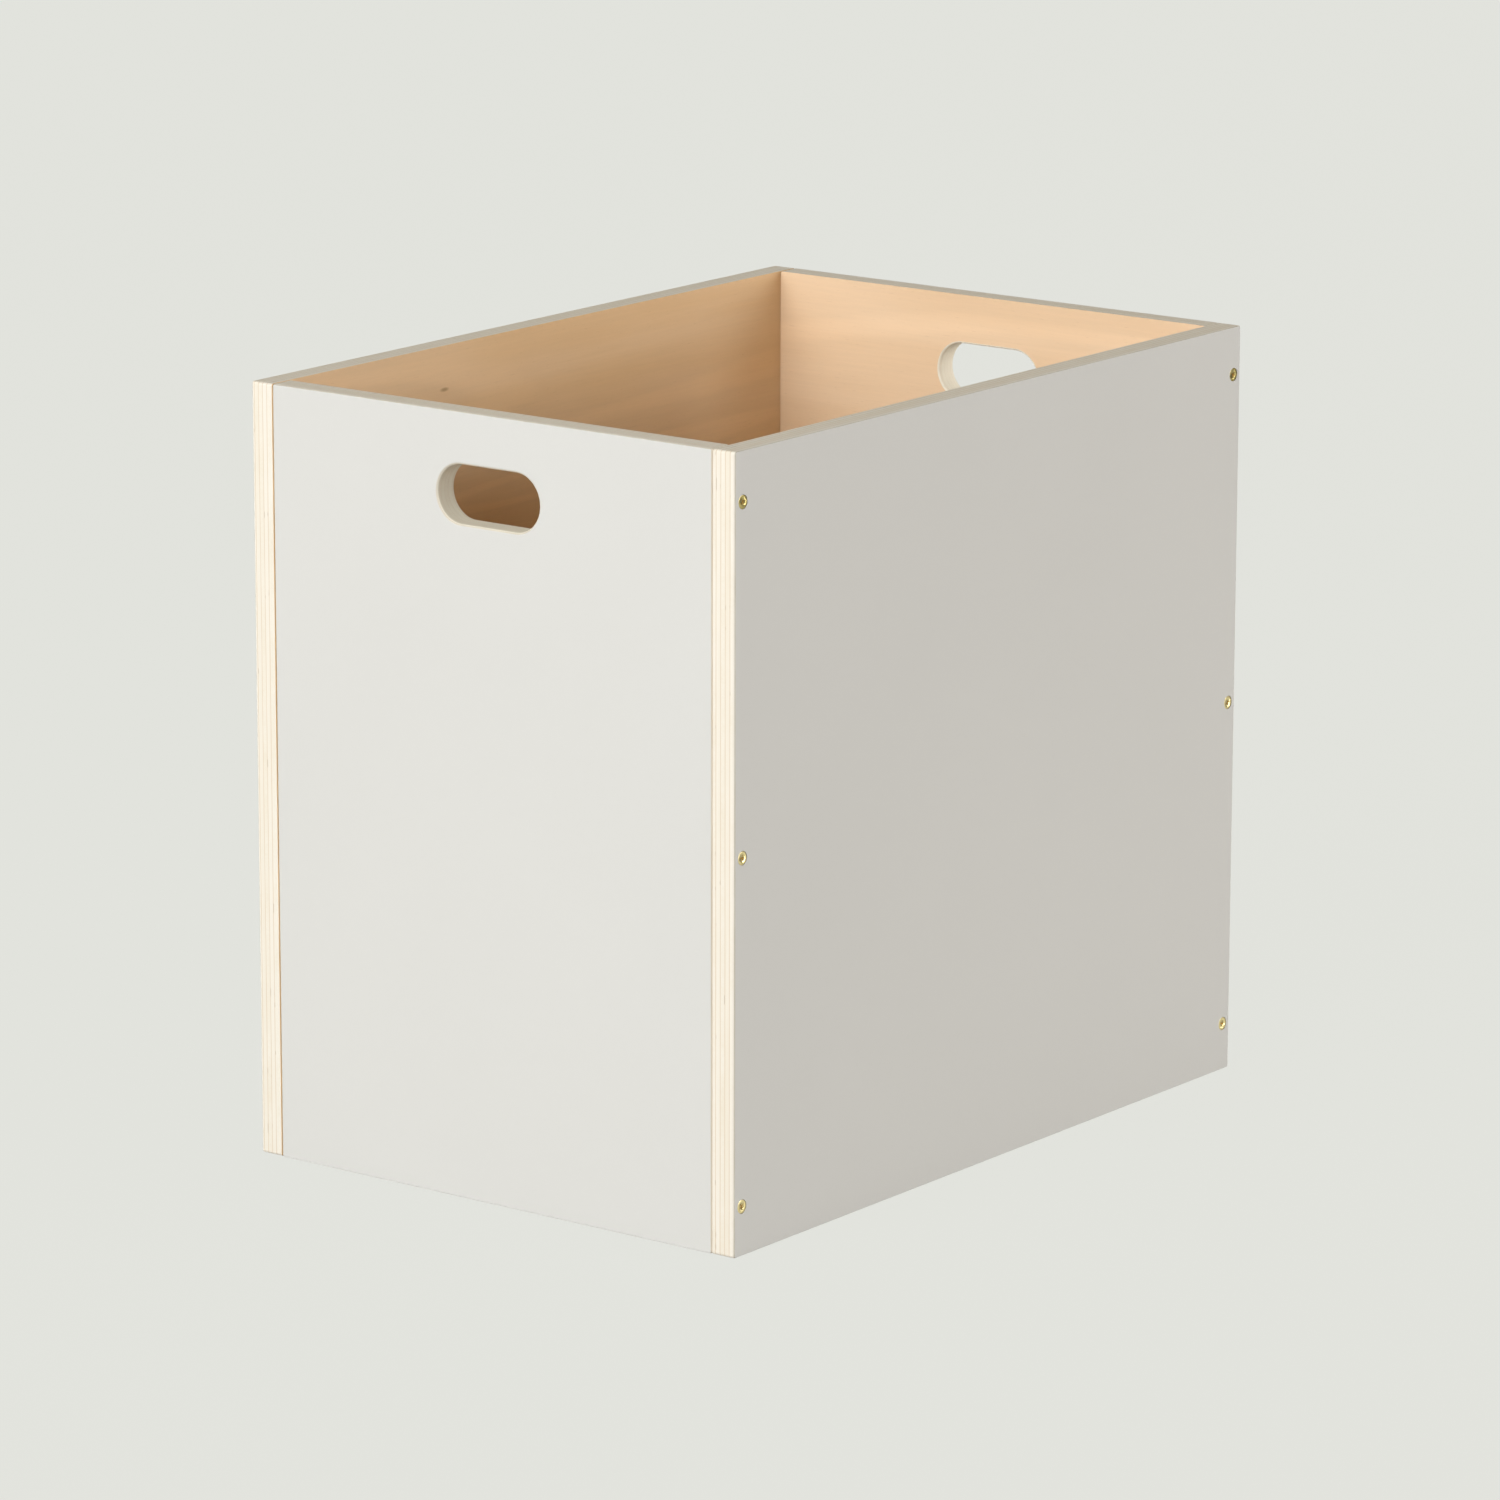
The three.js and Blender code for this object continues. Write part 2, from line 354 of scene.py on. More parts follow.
class Wall:
    """One wall's sizes, from the frame, and the matrix that stands it up."""

    def __init__(self, name, turn, fit=0):
        self.name = name
        along = Vector((math.cos(turn), math.sin(turn), 0))
        out = Vector((math.sin(turn), -math.cos(turn), 0))
        inner = span(f"{name}_board", out)[0]
        sheet_inner, outer = span(f"{name}_face_sheet", out)
        self.half = span(f"{name}_board", along)[1] + fit
        self.foot, self.head = span(f"{name}_board", UP)
        self.thickness = outer - inner
        self.sheet_face = sheet_inner - inner
        self.board_face = self.sheet_face - BOND
        self.matrix = Matrix.Translation(out * inner) @ Matrix((along, UP, out)).transposed().to_4x4()
        self.out, self.along, self.inner = out, along, inner

    def tilt_at(self, w):
        """How far the outer arris leans at this depth in the wall."""
        return math.asin(max(0, 1 - (self.thickness - w) / ARRIS))

    def board_profile(self, extra=(), inner_arris=INNER_ARRIS):
        """The rings of a board's edge, with any extra ones between its two arrises."""
        inside = arris_rings(inner_arris, 0, -1, QUARTER, 0)
        outside = arris_rings(ARRIS, self.thickness, 1, 0, self.tilt_at(self.board_face))
        return [*inside, *((0, w, 0) for w in extra), *outside]

    def sheet_profile(self):
        """The rings of the sheet's edge: its bare core, then the film, which starts on the core's last."""
        start = self.tilt_at(self.sheet_face)
        core = arris_rings(ARRIS, self.thickness, 1, start, FILM_TILT)
        film = arris_rings(ARRIS, self.thickness, 1, FILM_TILT, QUARTER)
        return core, film

    def screws(self):
        """(node, u, v, w of the head's face) of each screw in this wall."""
        found = []
        for node in sorted(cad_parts):
            if node.startswith(f"screw_{self.name}_"):
                low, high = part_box(node)
                centre = (low + high) / 2
                face = span(node, self.out)[1] - self.inner
                found.append((node, centre.dot(self.along), centre.z, face))
        return found


def groove_heights():
    """The lower and upper edge of the groove, round the bottom board."""
    low, high = span("bottom_board", UP)
    return low - GROOVE_PLAY, high + GROOVE_PLAY


def hole_radius(face, w):
    """The radius of a screw hole at depth w: a clear hole that opens into the countersink."""
    head = HEAD_RADIUS + HOLE_PLAY
    shank = SHANK + HOLE_PLAY
    rim = face - HEAD_RIM
    return min(head, max(shank, head - (rim - w)))


# Where an end board's outline meets its groove, as places in the list of the outline's points.
CORNER_POINTS = CORNER_STEPS + 1
RIGHT_LOW = CORNER_POINTS
RIGHT_HIGH = RIGHT_LOW + 1
LEFT_HIGH = RIGHT_HIGH + 2 * CORNER_POINTS + 1
LEFT_LOW = LEFT_HIGH + 1

# An end board's rings: the inner arris, the bottom of the groove, then the outer arris.
ARRIS_END = ARRIS_STEPS
GROOVE_RING = ARRIS_END + 1
OUTER_START = GROOVE_RING + 1


def end_board(wall, wood, skin, smooth_wood):
    """An end board, with its slot, the through groove and the screws' pilot holes."""
    shell = Shell()
    outline = board_outline(wall.half, wall.foot, wall.head, groove_heights())
    rings = sweep(shell, outline, wall.board_profile([TONGUE + GROOVE_PLAY]), LEVEL_EASE)
    open_skirt(shell, rings)
    slot = sweep(shell, slot_outline(wall.head), wall.board_profile(inner_arris=SLOT_ARRIS))
    for first, second in zip(slot, slot[1:]):
        shell.bridge(first, second, SMOOTH_EDGE)

    inner, outer = rings[0], rings[-1]
    shell.fill([inner[RIGHT_HIGH:LEFT_HIGH + 1], slot[0]], VENEER)
    shell.fill([inner[LEFT_LOW:] + inner[:RIGHT_LOW + 1]], VENEER)
    shell.fill([outer, slot[-1]], EDGE)
    line_groove(shell, rings)
    end_faces(shell, wall, rings)
    return shell.build(f"{wall.name}_panel", wall.matrix, (wood, skin, smooth_wood))


def open_skirt(shell, rings):
    """Joins an end board's rings, and leaves out the groove's ends and the drilled end faces."""
    for index, (first, second) in enumerate(zip(rings, rings[1:])):
        skip = set()
        if index < GROOVE_RING:
            skip |= {RIGHT_LOW, LEFT_HIGH}
        if ARRIS_END <= index < OUTER_START:
            skip |= {RIGHT_HIGH, LEFT_HIGH - 1}
        shell.bridge(first, second, strip_material(index), skip=skip)


def line_groove(shell, rings):
    """The two sides and the bottom of the groove through an end board."""
    depths = rings[:GROOVE_RING + 1]
    for left, right in ((LEFT_LOW, RIGHT_LOW), (LEFT_HIGH, RIGHT_HIGH)):
        column = [ring[left] for ring in depths]
        column += [ring[right] for ring in reversed(depths)]
        shell.face(column, EDGE)
    floor = rings[GROOVE_RING]
    shell.face([floor[place] for place in (LEFT_LOW, RIGHT_LOW, RIGHT_HIGH, LEFT_HIGH)], EDGE)


def end_faces(shell, wall, rings):
    """An end board's end faces above the groove, with three pilot holes in each."""
    bands = rings[ARRIS_END:OUTER_START + 1]
    for side, near, far in ((1, RIGHT_HIGH, RIGHT_HIGH + 1), (-1, LEFT_HIGH, LEFT_HIGH - 1)):
        rim = [ring[near] for ring in bands] + [ring[far] for ring in reversed(bands)]
        mouths = [drill(shell, wall, side, v) for v in pilot_levels()]
        shell.fill([rim, *mouths], EDGE)


def pilot_levels():
    """The heights that the screws stand at, to a hundredth of a millimetre."""
    screws = [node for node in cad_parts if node.startswith("screw_")]
    return sorted({round(sum(span(node, UP)) / 2, 5) for node in screws})


def drill(shell, wall, side, v):
    """A blind pilot hole into an end face, and its mouth."""
    node = f"screw_{'right' if side * wall.along.x > 0 else 'left'}_{wall.name}_middle"
    w = sum(span(node, wall.out)) / 2 - wall.inner
    reach = span(node, wall.along * side)[0]
    depth = wall.half - reach + HOLE_PLAY
    across = Vector((0, 1, 0))
    up = Vector((0, 0, side))
    centre = Vector((side * wall.half, v, w))
    radius = SHANK + HOLE_PLAY
    rings = shell.tube(centre, across, up, [(radius, 0), (radius, TIP - depth), (PILOT_END, -depth)])
    shell.face(rings[-1])
    return rings[0]


def side_board(wall, wood, skin):
    """A side board, with its stopped groove and six countersunk screw holes."""
    shell = Shell()
    outline = board_outline(wall.half, wall.foot, wall.head)
    rings = sweep(shell, outline, wall.board_profile(), LEVEL_EASE)
    skirt(shell, rings)
    holes = [countersink(shell, screw, 0, wall.board_face, VENEER) for screw in wall.screws()]

    low, high = groove_heights()
    half = span("bottom_board", wall.along)[1] + GROOVE_PLAY
    corners = ((-half, low), (half, low), (half, high), (-half, high))
    mouth, floor = ([shell.point((u, v, w)) for u, v in corners] for w in (0, TONGUE + GROOVE_PLAY))
    shell.bridge(mouth, floor, EDGE, flat=True)
    shell.face(floor, EDGE)
    shell.fill([rings[0], mouth, *(hole[0] for hole in holes)], VENEER)
    shell.fill([rings[-1], *(hole[-1] for hole in holes)], EDGE)
    return shell.build(f"{wall.name}_panel", wall.matrix, (wood, skin))


def countersink(shell, screw, start, end, material):
    """The rings of one screw hole from w = start to w = end."""
    _, u, v, face = screw
    rim = face - HEAD_RIM
    shank_top = rim - (HEAD_RADIUS - SHANK)
    stops = [start, *(w for w in (shank_top, rim) if start < w < end), end]
    centre = Vector((u, v, 0))
    rings = [(hole_radius(face, w), w) for w in stops]
    return shell.tube(centre, Vector((1, 0, 0)), Vector((0, 1, 0)), rings, material)


def facing(wall, film, core, slotted):
    """The decorative sheet on a wall: a white film over a core that shows along its cut edges."""
    shell = Shell()
    outlines = [(board_outline(wall.half, wall.foot, wall.head), LEVEL_EASE)]
    if slotted:
        outlines.append((slot_outline(wall.head), 1))
    inner, outer = [], []
    core_profile, film_profile = wall.sheet_profile()
    for outline, ease in outlines:
        core_rings = sweep(shell, outline, core_profile, ease)
        film_rings = [core_rings[-1], *sweep(shell, outline, film_profile[1:], ease)]
        for first, second in zip(core_rings, core_rings[1:]):
            shell.bridge(first, second, CORE)
        for first, second in zip(film_rings, film_rings[1:]):
            shell.bridge(first, second, FILM)
        inner.append(core_rings[0])
        outer.append(film_rings[-1])
    for screw in wall.screws():
        hole = countersink(shell, screw, wall.sheet_face, wall.thickness, CORE)
        inner.append(hole[0])
        outer.append(hole[-1])
    shell.fill(inner, CORE)
    shell.fill(outer, FILM)
    return shell.build(f"{wall.name}_facing", wall.matrix, (film, core))


def bottom(wood, skin):
    """The bottom board, lying in the grooves."""
    shell = Shell()
    low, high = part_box("bottom_board")
    outline = board_outline(high.x, low.y, high.y)
    thickness = high.z - low.z
    under = arris_rings(INNER_ARRIS, 0, -1, QUARTER, 0)
    over = arris_rings(INNER_ARRIS, thickness, 1, 0, QUARTER)
    rings = sweep(shell, outline, under + over)
    skirt(shell, rings)
    shell.fill([rings[0]], VENEER)
    shell.fill([rings[-1]], VENEER)
    return shell.build("bottom_panel", Matrix.Translation((0, 0, low.z)), (wood, skin))


# ---- Screws ------------------------------------------------------------------------------------


def screw_radius(depth, turn):
    """The radius of the shank at a depth below the head's face, with its thread."""
    taper = min(1, max(TIP_END, (SCREW_LENGTH - depth) / TIP))
    phase = (depth / THREAD_PITCH - turn) % 1
    crest = max(0, 1 - abs(phase - 0.5) * THREAD_SLOPE)
    start = min(1, max(0, (depth - SMOOTH_SHANK) / THREAD_PITCH))
    groove = THREAD_DEPTH * start * (1 - crest)
    return (SHANK - groove) * taper


def screw_mesh(material):
    """A screw along -Z, with the face of its head at the origin, before its recess is cut."""
    shell = Shell()
    cone_end = HEAD_RIM + HEAD_RADIUS - SHANK
    rows = [(HEAD_RADIUS - HEAD_EASE, 0)]
    for step in range(1, HEAD_EASE_STEPS + 1):
        lean = QUARTER * step / HEAD_EASE_STEPS
        inset = HEAD_EASE * (1 - math.sin(lean))
        rows.append((HEAD_RADIUS - inset, HEAD_EASE / 2 * (1 - math.cos(lean))))
    rows += [(HEAD_RADIUS, HEAD_RIM), (SHANK, cone_end), (SHANK, SMOOTH_SHANK)]
    rings = [[shell.point((r * c, r * s, -d)) for c, s in screw_turns()] for r, d in rows]
    threaded = SCREW_LENGTH - SMOOTH_SHANK
    count = round(threaded / THREAD_PITCH * ROWS_PER_TURN)
    for row in range(1, count + 1):
        depth = SMOOTH_SHANK + threaded * row / count
        ring = []
        for index, (cos, sin) in enumerate(screw_turns()):
            radius = screw_radius(depth, index / SCREW_STEPS)
            ring.append(shell.point((radius * cos, radius * sin, -depth)))
        rings.append(ring)
    for first, second in zip(rings, rings[1:]):
        shell.bridge(first, second)
    shell.face(rings[0])
    shell.face(rings[-1])
    return shell.build("screw_blank", Matrix.Identity(4), (material,))


def screw_turns():
    """The cosine and sine of each step round a screw."""
    turns = (2 * math.pi * step / SCREW_STEPS for step in range(SCREW_STEPS))
    return [(math.cos(turn), math.sin(turn)) for turn in turns]


def recess_tool(turn):
    """The cutter for one slot of the cross recess, which narrows towards its floor in both directions."""
    widening = (RECESS_SPAN - RECESS_FLOOR_SPAN) * (1 + CUTTER_RISE / RECESS_DEPTH)
    levels = (
        (-RECESS_DEPTH, RECESS_FLOOR_SPAN / 2, RECESS_FLOOR_WIDTH / 2),
        (CUTTER_RISE, (RECESS_FLOOR_SPAN + widening) / 2, CUTTER_WIDTH / 2),
    )
    shape = bmesh.new()
    signs = ((1, 1), (-1, 1), (-1, -1), (1, -1))
    rings = [[shape.verts.new((sx * reach, sy * width, z)) for sx, sy in signs] for z, reach, width in levels]
    for index in range(4):
        after = (index + 1) % 4
        shape.faces.new((rings[0][index], rings[0][after], rings[1][after], rings[1][index]))
    shape.faces.new(rings[0])
    shape.faces.new(rings[1])
    bmesh.ops.recalc_face_normals(shape, faces=shape.faces)
    shape.transform(Matrix.Rotation(turn, 4, "Z"))
    data = bpy.data.meshes.new("recess_tool")
    shape.to_mesh(data)
    shape.free()
    tool = bpy.data.objects.new("recess_tool", data)
    bpy.context.scene.collection.objects.link(tool)
    return tool


def cut_screw(material):
    """The finished mesh that all the screws share."""
    blank = screw_mesh(material)
    tools = [recess_tool(turn) for turn in (0, QUARTER)]
    for tool in tools:
        cutter = blank.modifiers.new("recess", "BOOLEAN")
        cutter.operation = "DIFFERENCE"
        cutter.solver = "EXACT"
        cutter.object = tool
    graph = bpy.context.evaluated_depsgraph_get()
    mesh = bpy.data.meshes.new_from_object(blank.evaluated_get(graph))
    mesh.name = "screw"
    places = mesh.attributes["board_point"].data
    for vertex, place in zip(mesh.vertices, places):
        place.vector = vertex.co
    for spare in (blank, *tools):
        bpy.data.objects.remove(spare)
    mesh.set_sharp_from_angle(angle=SHARP_EDGE)
    return mesh


def place_screw(mesh, wall, screw, turn):
    """A screw of its own in place of the frame's plain one."""
    node, u, v, face = screw
    piece = bpy.data.objects.new(f"{node.replace('screw_', '')}_screw", mesh.copy())
    bpy.context.scene.collection.objects.link(piece)
    stand = wall.matrix @ Matrix.Translation((u, v, face)) @ Matrix.Rotation(turn, 4, "Z")
    piece.data.transform(stand)
    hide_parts(node)
    return piece


# ---- Materials ---------------------------------------------------------------------------------


class Nodes:
    """A tree of shader nodes. Each call adds one node and returns its output."""

    def __init__(self, tree):
        self.tree = tree

    def feed(self, socket, value):
        if isinstance(value, bpy.types.NodeSocket):
            self.tree.links.new(value, socket)
        else:
            socket.default_value = value

    def node(self, kind, inputs, output=0, **settings):
        node = self.tree.nodes.new(kind)
        for key, value in settings.items():
            setattr(node, key, value)
        for key, value in inputs.items():
            self.feed(node.inputs[key], value)
        return node.outputs[output]

    def parts(self, vector):
        node = self.tree.nodes.new("ShaderNodeSeparateXYZ")
        self.feed(node.inputs[0], vector)
        return node.outputs


class Paint(Nodes):
    """A procedural material."""

    def __init__(self, name):
        self.material = bpy.data.materials.new(name)
        self.material.use_nodes = True
        super().__init__(self.material.node_tree)

    def board_point(self):
        """A point's place in its wall's frame, in parts: along the wall, up it and out of it."""
        point = self.node("ShaderNodeAttribute", {}, output="Vector", attribute_name="board_point")
        return self.parts(point)

    def math(self, operation, *values):
        return self.node("ShaderNodeMath", dict(enumerate(values)), operation=operation)

    def spread(self, value, least, reach):
        """least where the value is 0, and least + reach where it is 1."""
        return self.math("MULTIPLY_ADD", value, reach, least)

    def length(self, x, y):
        squares = self.math("ADD", self.math("POWER", x, 2.0), self.math("POWER", y, 2.0))
        return self.math("SQRT", squares)

    def vector(self, x, y, z):
        return self.node("ShaderNodeCombineXYZ", {0: x, 1: y, 2: z})

    def noise(self, vector, detail=3.0, roughness=0.5, distortion=0.0):
        inputs = {"Vector": vector, "Scale": 1.0, "Detail": detail, "Roughness": roughness}
        inputs["Distortion"] = distortion
        return self.node("ShaderNodeTexNoise", inputs)

    def stretch(self, parts, scales):
        return self.vector(*(self.math("MULTIPLY", part, scale) for part, scale in zip(parts, scales)))

    def clamp(self, value, low, high):
        return self.math("MINIMUM", self.math("MAXIMUM", value, low), high)

    def step(self, value, low, high):
        """0 below low, 1 above high and smooth between them. low may be the larger of the two."""
        inputs = {"Value": value, "From Min": low, "From Max": high}
        return self.node("ShaderNodeMapRange", inputs, interpolation_type="SMOOTHSTEP")

    def mix(self, factor, first, second, blend="MIX"):
        """A mix of two colours: 6, 7 and output 2 are the node's colour sockets."""
        inputs = {0: factor, 6: first, 7: second}
        return self.node("ShaderNodeMix", inputs, output=2, data_type="RGBA", blend_type=blend)

    def bump(self, height, strength, distance):
        return self.node("ShaderNodeBump", {"Height": height, "Strength": strength, "Distance": distance})

    def finish(self, colour, roughness, normal, **others):
        """Feeds the material's surface and returns the material."""
        surface = self.tree.nodes["Principled BSDF"]
        self.feed(surface.inputs["Base Color"], colour)
        self.feed(surface.inputs["Roughness"], roughness)
        self.feed(surface.inputs["Normal"], normal)
        for key, value in others.items():
            self.feed(surface.inputs[key.replace("_", " ")], value)
        return self.material


class Lay:
    """How a board is laid up, from its inner face outwards."""

    def __init__(self, count, face_ply, core_ply):
        self.count = count
        self.face_ply = face_ply
        self.core_ply = core_ply


def plies(paint, lay):
    """How deep a point is in a board, in plies, which ply that is, and its place in that ply's grain.

    The grain runs along u in the first ply, and every other ply is turned by a quarter.
    """
    u, v, w = paint.board_point()
    layer = paint.spread(w, 1 - lay.face_ply / lay.core_ply, 1 / lay.core_ply)
    index = paint.clamp(paint.math("FLOOR", layer), 0.0, lay.count - 1)
    odd = paint.math("MODULO", index, 2.0)
    along = paint.spread(odd, u, paint.math("SUBTRACT", v, u))
    across = paint.spread(odd, v, paint.math("SUBTRACT", u, v))
    along = paint.spread(index, along, PLY_SHIFT[0])
    across = paint.spread(index, across, PLY_SHIFT[1])
    return layer, index, (along, across, w)


def wood_figure(paint, grain):
    """Fibres, growth bands, clouds and flecks of one ply, each from 0 to 1."""
    fibres = paint.noise(paint.stretch(grain, FIBRES), detail=3.0, roughness=0.6)
    bands = paint.noise(paint.stretch(grain, BANDS), detail=2.5, roughness=0.55, distortion=0.7)
    clouds = paint.noise(paint.stretch(grain, CLOUDS), detail=2.0)
    flecks = paint.noise(paint.stretch(grain, FLECKS), detail=1.0)
    return fibres, bands, clouds, paint.step(flecks, 0.66, 0.78)


def veneer(name, lay, pale, deep, seed=0.0, knot=None):
    """The bare face veneer of a board: peeled wood, with the wavy contours of its growth rings."""
    paint = Paint(name)
    grain = plies(paint, lay)[2]
    fibres, bands, clouds, flecks = wood_figure(paint, grain)
    figure = paint.spread(bands, paint.math("MULTIPLY", clouds, 0.5), 0.5)
    colour = paint.mix(paint.step(figure, 0.3, 0.72), pale, deep)
    light = paint.spread(fibres, 1 - FIBRE_LIGHT / 2, FIBRE_LIGHT)
    light = paint.spread(contour_lines(paint, grain, seed), light, CONTOUR_LIGHT)
    colour = paint.mix(1.0, colour, paint.vector(light, light, light), "MULTIPLY")
    colour = paint.mix(paint.math("MULTIPLY", flecks, FLECK_SHADE), colour, FLECK)
    if knot:
        colour = paint.mix(knot_mark(paint, *knot), colour, KNOT_BROWN)
    height = paint.spread(flecks, fibres, -0.8)
    normal = paint.bump(height, strength=0.25, distance=FACE_RELIEF)
    roughness = paint.spread(fibres, least=0.5, reach=0.18)
    return paint.finish(colour, roughness, normal, Specular_IOR_Level=WOOD_GLOSS)


def contour_lines(paint, grain, seed):
    """The wavy contours of growth rings on peeled wood. Each seed moves them to another place."""
    along, across, depth = grain
    sheet = (paint.math("ADD", along, seed), across, depth)
    hills = paint.noise(paint.stretch(sheet, HILLS), detail=2.0, roughness=0.45, distortion=0.4)
    return paint.step(paint.math("SINE", paint.math("MULTIPLY", hills, CONTOURS)), 0.3, 1.0)


def knot_mark(paint, u, v):
    """A pin knot with a short tail along the grain, at a place on the inner face: how dark it is."""
    point = paint.board_point()
    along = paint.math("MULTIPLY", paint.math("SUBTRACT", point[0], u), 1 / KNOT_LENGTH)
    across = paint.math("MULTIPLY", paint.math("SUBTRACT", point[1], v), 1 / KNOT_WIDTH)
    return paint.math("MULTIPLY", paint.step(paint.length(along, across), 1.0, 0.2), KNOT_SHADE)


def ply_edge(name, lay, pale, deep, contrast):
    """The cut edge of a board: its plies, with their grain turned in turn, and the glue lines."""
    paint = Paint(name)
    layer, index, grain = plies(paint, lay)
    fibres, bands, _, flecks = wood_figure(paint, grain)
    tone = paint.node("ShaderNodeTexWhiteNoise", {"W": index}, noise_dimensions="1D")
    figure = paint.spread(fibres, paint.math("MULTIPLY", bands, 0.5), 0.3)
    figure = paint.spread(tone, figure, PLY_TONE)
    colour = paint.mix(paint.step(figure, 0.3, 0.75), pale, deep)

    line, gaps = glue_lines(paint, lay, layer, grain)
    colour = paint.mix(paint.math("MULTIPLY", line, contrast), colour, GLUE)
    colour = paint.mix(paint.math("MULTIPLY", gaps, GAP_SHADE * contrast), colour, GAP)
    colour = paint.mix(paint.math("MULTIPLY", flecks, EDGE_FLECK_SHADE), colour, deep)

    height = paint.math("SUBTRACT", fibres, paint.spread(line, gaps, contrast))
    normal = paint.bump(height, strength=0.3, distance=EDGE_RELIEF)
    roughness = paint.spread(fibres, least=0.55, reach=0.2)
    return paint.finish(colour, roughness, normal, Specular_IOR_Level=WOOD_GLOSS)


def glue_lines(paint, lay, layer, grain):
    """The glue lines, by how far the nearest one is, and the small brown gaps along them."""
    nearest = paint.clamp(paint.math("ROUND", layer), 1.0, lay.count - 1)
    away = paint.math("ABSOLUTE", paint.math("SUBTRACT", layer, nearest))
    away = paint.math("MULTIPLY", away, lay.core_ply)
    wander = paint.noise(paint.stretch(grain, GLUE_WANDER), detail=2.0)
    width = paint.spread(wander, 0.6 * GLUE_LINE, 2 * GLUE_LINE)
    gaps = paint.step(paint.noise(paint.stretch(grain, GLUE_GAPS), detail=1.0), 0.68, 0.74)
    gaps = paint.math("MULTIPLY", gaps, paint.step(away, 2.5 * GLUE_LINE, GLUE_LINE))
    return paint.step(away, width, 0.0), gaps


def sheet_core(name, pale, deep):
    """The tan paper core of a facing sheet, which shows where its edges are trimmed."""
    paint = Paint(name)
    point = paint.board_point()
    fibres = paint.noise(paint.stretch(point, PAPER_FIBRES), detail=3.0, roughness=0.6)
    patches = paint.noise(paint.stretch(point, PAPER_PATCHES), detail=2.0)
    colour = paint.mix(paint.step(patches, 0.3, 0.7), pale, deep)
    roughness = paint.spread(fibres, least=0.55, reach=0.2)
    return paint.finish(colour, roughness, paint.bump(fibres, strength=0.3, distance=EDGE_RELIEF))


def white_film():
    """The satin off-white film on the outer faces."""
    paint = Paint("white_film")
    point = paint.board_point()
    peel = paint.noise(paint.stretch(point, FILM_PEEL), detail=3.0, roughness=0.6)
    clouds = paint.noise(paint.stretch(point, FILM_CLOUDS), detail=3.0)
    colour = paint.mix(clouds, DEEP_FILM, PALE_FILM)
    roughness = paint.spread(clouds, least=0.4, reach=0.1)
    normal = paint.bump(peel, strength=0.12, distance=EDGE_RELIEF)
    return paint.finish(colour, roughness, normal)


def brass(name, bright, dull):
    """Turned brass with dull patches, and a brown painted shade that darkens the recess of the head."""
    paint = Paint(name)
    point = paint.board_point()
    radius = paint.length(point[0], point[1])
    rings = paint.noise(paint.vector(paint.math("MULTIPLY", radius, TURNING_MARKS), 0.0, 0.0), detail=2.0)
    patches = paint.noise(paint.stretch(point, TARNISH_PATCHES), detail=3.0)
    # Painted shade: the brass turns darker and browner deeper in the recess.
    recess = paint.step(point[2], RECESS_SHADE_START, RECESS_SHADE_FULL)
    colour = paint.mix(paint.step(patches, 0.4, 0.8), bright, dull)
    colour = paint.mix(paint.math("MULTIPLY", recess, RECESS_SHADE_STRENGTH), colour, RECESS_SHADE_BROWN)
    roughness = paint.spread(patches, least=0.26, reach=0.16)
    roughness = paint.spread(recess, least=roughness, reach=0.3)
    normal = paint.bump(rings, strength=0.3, distance=BRASS_RELIEF)
    return paint.finish(colour, roughness, normal, Metallic=1.0)


# ---- Assembly ----------------------------------------------------------------------------------


def own(piece, slot, *nodes):
    """Hands a piece over to the frame, in place of these nodes."""
    if nodes:
        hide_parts(*nodes)
    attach(piece, "root")


end_walls = [Wall("front", 0, CLOSE_FIT), Wall("rear", 2 * QUARTER, CLOSE_FIT)]
side_walls = [Wall("right", QUARTER), Wall("left", -QUARTER)]

wall_lay = Lay(WALL_PLIES, WALL_FACE_PLY, WALL_CORE_PLY)
left_lay = Lay(WALL_PLIES, LEFT_FACE_PLY, LEFT_CORE_PLY)
bottom_lay = Lay(BOTTOM_PLIES, BOTTOM_FACE_PLY, BOTTOM_CORE_PLY)
end_edge = ply_edge("end_ply_edge", wall_lay, PALE_EDGE, DEEP_EDGE, contrast=0.9)
slot_edge = ply_edge("slot_ply_edge", wall_lay, PALE_SLOT, DEEP_SLOT, contrast=0.2)
right_edge = ply_edge("right_ply_edge", wall_lay, PALE_EDGE, DEEP_EDGE, contrast=0.9)
left_edge = ply_edge("left_ply_edge", left_lay, PALE_EDGE, DEEP_EDGE, contrast=0.8)
end_face = veneer("end_veneer", wall_lay, PALE_END, DEEP_END)
right_face = veneer("right_veneer", wall_lay, PALE_SIDE, DEEP_SIDE)
left_face = veneer("left_veneer", left_lay, PALE_SIDE, DEEP_SIDE, seed=0.4, knot=KNOT)
bottom_edge = ply_edge("bottom_ply_edge", bottom_lay, PALE_EDGE, DEEP_EDGE, contrast=0.6)
bottom_face = veneer("bottom_veneer", bottom_lay, PALE_SIDE, DEEP_SIDE)
film = white_film()
# The cores' two copies: lighter painted light at the end walls' joints, and darker painted shade on the side
# walls' arrises.
lit_end_core = sheet_core("end_sheet_core", PALE_END_CORE_LIT, DEEP_END_CORE_LIT)
shaded_side_core = sheet_core("side_sheet_core", PALE_SIDE_CORE_SHADED, DEEP_SIDE_CORE_SHADED)
new_brass = brass("brass", BRIGHT_BRASS, DULL_BRASS)
dark_reflection_brass = brass("tarnished_brass", SHADED_BRIGHT_BRASS, SHADED_DULL_BRASS)
side_woods = {"right": (right_edge, right_face), "left": (left_edge, left_face)}

